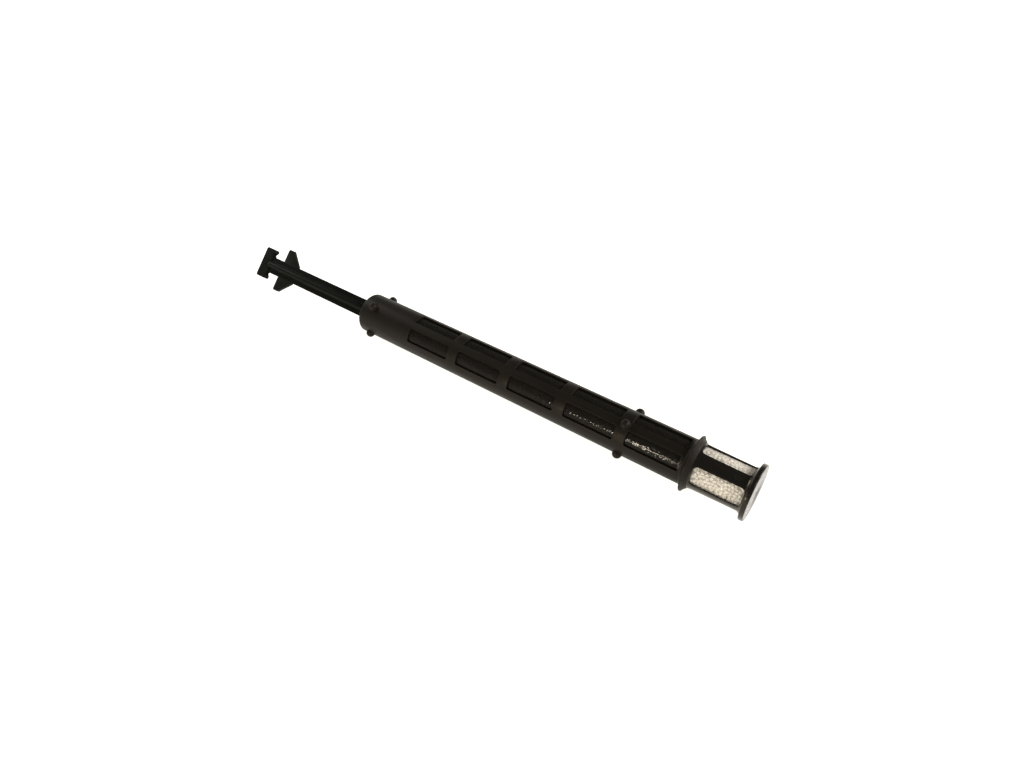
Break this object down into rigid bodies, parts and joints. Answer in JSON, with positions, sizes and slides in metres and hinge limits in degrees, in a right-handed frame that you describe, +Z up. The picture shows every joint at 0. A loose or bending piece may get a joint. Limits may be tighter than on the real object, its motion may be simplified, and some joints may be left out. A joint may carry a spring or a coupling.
{
  "type": "receiver drier cartridge",
  "caption": "Tube of desiccant beads behind mesh windows, with centring nubs, a lip ring, a filter cage with an end disc, and a winged pull stem with a T-bar.",
  "frame": {"origin": "under the middle of the cartridge, on the surface that it lies on", "axes": "+X along the cartridge towards the filter cage and end disc, +Z up"},
  "size_m": [0.3502, 0.0296, 0.0297],
  "materials": {
    "tube_plastic": "satin",
    "cage_plastic": "gloss",
    "stem_plastic": "satin",
    "inner_plastic": "satin",
    "black_mesh": "satin",
    "white_mesh": "matte",
    "felt": "matte",
    "beads": "matte",
    "spring_steel": "satin"
  },
  "bodies": {
    "cartridge": {"desiccant_tube": "tube_plastic", "mesh_strip_1": "black_mesh", "mesh_strip_2": "black_mesh", "mesh_strip_3": "black_mesh", "mesh_strip_4": "black_mesh", "desiccant_bed": "beads", "lower_felt": "felt", "partition_plate": "inner_plastic", "end_plug": "inner_plastic", "bed_spring": "spring_steel", "filter_cage": "cage_plastic", "filter_mesh": "white_mesh", "filter_bed": "beads", "end_disc": "cage_plastic"},
    "stem": {"stem": "stem_plastic"},
    "follower": {"follower_plate": "inner_plastic", "upper_felt": "felt"}
  },
  "joints": [
    {"name": "stem_swivel", "type": "hinge", "parent": "cartridge", "child": "stem", "pos_m": [-0.067, 0, 0.01485], "axis": [1, 0, 0], "continuous": true},
    {"name": "follower_slide", "type": "slide", "parent": "cartridge", "child": "follower", "axis": [-1, 0, 0], "range_m": [0, 0.004], "stiffness_N_per_m": 800, "springref_m": -0.007, "deforming": ["bed_spring"]}
  ]
}
